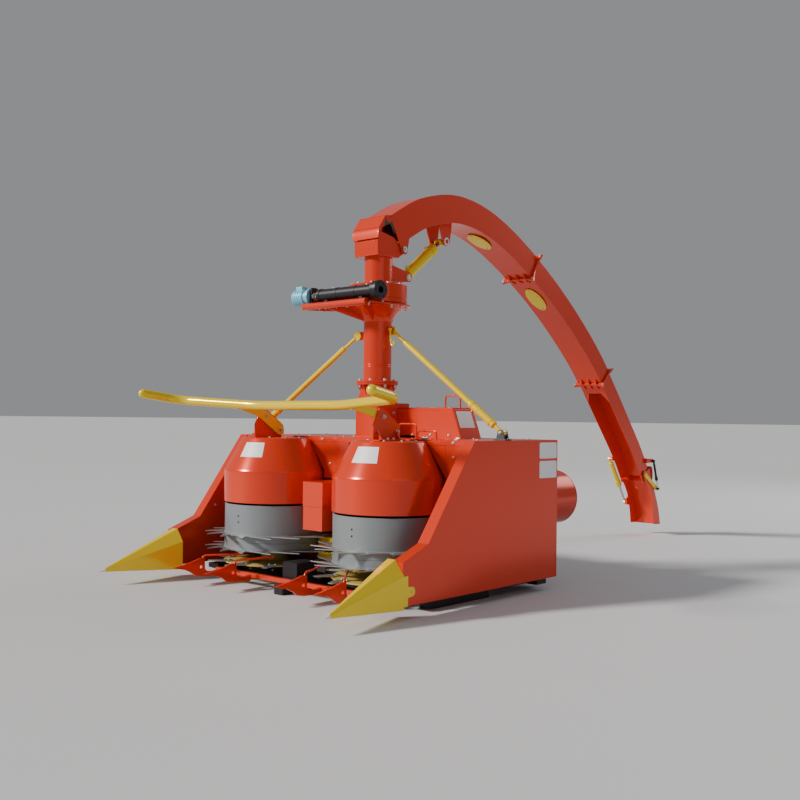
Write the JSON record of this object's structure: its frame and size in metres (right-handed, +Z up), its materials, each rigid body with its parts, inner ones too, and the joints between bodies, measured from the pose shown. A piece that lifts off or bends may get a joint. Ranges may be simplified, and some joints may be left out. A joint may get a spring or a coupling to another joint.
{
  "type": "tractor-mounted two-rotor forage harvester",
  "caption": "Tractor-mounted forage harvester: toothed rotors cut standing maize and feed a chopper that blows it out of a slewing, folding spout.",
  "frame": {"origin": "centre of the bounding box on the ground that the skids stand on", "axes": "+Z up, +Y rearwards to the tractor hitch and the spout's end, -Y to the divider cones, +X to the side with the drive cover"},
  "size_m": [1.664, 4.069, 2.0793],
  "materials": {
    "red_paint": "gloss",
    "yellow_paint": "gloss",
    "grey_paint": "satin",
    "black_paint": "satin",
    "knife_steel": "ground",
    "motor_blue": "satin",
    "bright_steel": "polished"
  },
  "bodies": {
    "frame": {"main_frame": "black_paint", "deck": "red_paint", "back_wall": "red_paint", "centre_divider": "red_paint", "scraper_plates": "yellow_paint", "stalk_dividers": "red_paint", "push_bar": "yellow_paint", "chopper_housing": "red_paint", "drive_gearbox": "black_paint", "drive_cover": "red_paint", "hitch_frame": "black_paint", "top_link_mast": "black_paint", "tower_foot": "red_paint", "tower_tube": "red_paint", "slew_platform": "red_paint", "worm_housing": "black_paint", "slew_motor": "motor_blue", "stay_right": "yellow_paint", "stay_left": "yellow_paint", "side_panel_left": "red_paint", "side_panel_right": "red_paint", "divider_cone_left": "yellow_paint", "divider_cone_right": "yellow_paint", "rotor_cover_left": "red_paint", "rotor_cover_right": "red_paint", "bar_bracket_left": "red_paint", "bar_bracket_right": "red_paint"},
    "rotor_left": {"rotor_drum_left": "grey_paint", "toothed_disc_upper_left": "knife_steel", "toothed_disc_lower_left": "knife_steel"},
    "rotor_right": {"rotor_drum_right": "grey_paint", "toothed_disc_upper_right": "knife_steel", "toothed_disc_lower_right": "knife_steel"},
    "cutter_left": {"cutter_disc_left": "knife_steel"},
    "cutter_right": {"cutter_disc_right": "knife_steel"},
    "pto": {"pto_shaft": "bright_steel"},
    "lid": {"chopper_lid": "red_paint"},
    "turret": {"turret_tube": "red_paint", "turret_head": "red_paint"},
    "spout": {"spout_arch": "red_paint", "spout_middle": "red_paint", "spout_open_end": "red_paint", "inspection_cover_upper": "yellow_paint", "inspection_cover_lower": "yellow_paint"},
    "tilt_barrel": {"tilt_cylinder": "yellow_paint"},
    "tilt_rod": {"tilt_cylinder_rod": "bright_steel"},
    "flap": {"deflector_flap": "red_paint", "flap_arm": "yellow_paint"},
    "flap_barrel": {"flap_cylinder_barrel": "yellow_paint"},
    "flap_rod": {"flap_cylinder_rod": "bright_steel"},
    "spring_barrel": {"return_spring_barrel": "black_paint"},
    "spring_rod": {"return_spring_rod": "bright_steel"}
  },
  "joints": [
    {"name": "rotor_left_spin", "type": "hinge", "parent": "frame", "child": "rotor_left", "pos_m": [-0.4, -1.2495, 0.3], "axis": [0, 0, 1], "continuous": true},
    {"name": "rotor_right_spin", "type": "hinge", "parent": "frame", "child": "rotor_right", "pos_m": [0.4, -1.2495, 0.3], "axis": [0, 0, 1], "continuous": true},
    {"name": "cutter_left_spin", "type": "hinge", "parent": "frame", "child": "cutter_left", "pos_m": [-0.4, -1.2495, 0.095], "axis": [0, 0, 1], "continuous": true},
    {"name": "cutter_right_spin", "type": "hinge", "parent": "frame", "child": "cutter_right", "pos_m": [0.4, -1.2495, 0.095], "axis": [0, 0, 1], "continuous": true},
    {"name": "pto_spin", "type": "hinge", "parent": "frame", "child": "pto", "pos_m": [0, -0.4895, 0.425], "axis": [0, 1, 0], "continuous": true},
    {"name": "lid_open", "type": "hinge", "parent": "frame", "child": "lid", "pos_m": [0.241, -0.6612, 0.8893], "axis": [-1, 0, 0], "range_deg": [0, 100]},
    {"name": "spout_slew", "type": "hinge", "parent": "frame", "child": "turret", "pos_m": [0, -0.9115, 1.42], "axis": [0, 0, 1], "range_deg": [-135, 135]},
    {"name": "spout_tilt", "type": "hinge", "parent": "turret", "child": "spout", "pos_m": [0, -0.8125, 1.718], "axis": [1, 0, 0], "range_deg": [0, 40]},
    {"name": "tilt_barrel_pivot", "type": "hinge", "parent": "turret", "child": "tilt_barrel", "pos_m": [0, -0.7135, 1.587], "axis": [1, 0, 0], "range_deg": [0, 35.3]},
    {"name": "tilt_rod_slide", "type": "slide", "parent": "tilt_barrel", "child": "tilt_rod", "axis": [0, 0.7865, 0.6176], "range_m": [0, 0.1067]},
    {"name": "flap_tilt", "type": "hinge", "parent": "spout", "child": "flap", "pos_m": [0, 1.8005, 0.448], "axis": [1, 0, 0], "range_deg": [-45, 0]},
    {"name": "flap_barrel_pivot", "type": "hinge", "parent": "spout", "child": "flap_barrel", "pos_m": [-0.118, 1.6705, 0.56], "axis": [1, 0, 0], "range_deg": [-26.8, 0]},
    {"name": "flap_rod_slide", "type": "slide", "parent": "flap_barrel", "child": "flap_rod", "axis": [0, 0.5726, -0.8199], "range_m": [-0.062, 0]},
    {"name": "spring_barrel_pivot", "type": "hinge", "parent": "spout", "child": "spring_barrel", "pos_m": [0.111, 1.9005, 0.546], "axis": [1, 0, 0], "range_deg": [-29.4, 0]},
    {"name": "spring_rod_slide", "type": "slide", "parent": "spring_barrel", "child": "spring_rod", "axis": [0, 0.3162, -0.9487], "range_m": [0, 0.0821]}
  ],
  "couplings": [
    {"joint": "rotor_right_spin", "follows": "rotor_left_spin", "ratio": -1},
    {"joint": "cutter_right_spin", "follows": "cutter_left_spin", "ratio": -1},
    {"joint": "tilt_barrel_pivot", "follows": "spout_tilt", "ratio": 0.881},
    {"joint": "tilt_rod_slide", "follows": "spout_tilt", "m_per_rad": 0.1527},
    {"joint": "flap_barrel_pivot", "follows": "flap_tilt", "ratio": 0.593},
    {"joint": "flap_rod_slide", "follows": "flap_tilt", "m_per_rad": 0.0788},
    {"joint": "spring_barrel_pivot", "follows": "flap_tilt", "ratio": 0.651},
    {"joint": "spring_rod_slide", "follows": "flap_tilt", "m_per_rad": -0.1044}
  ]
}
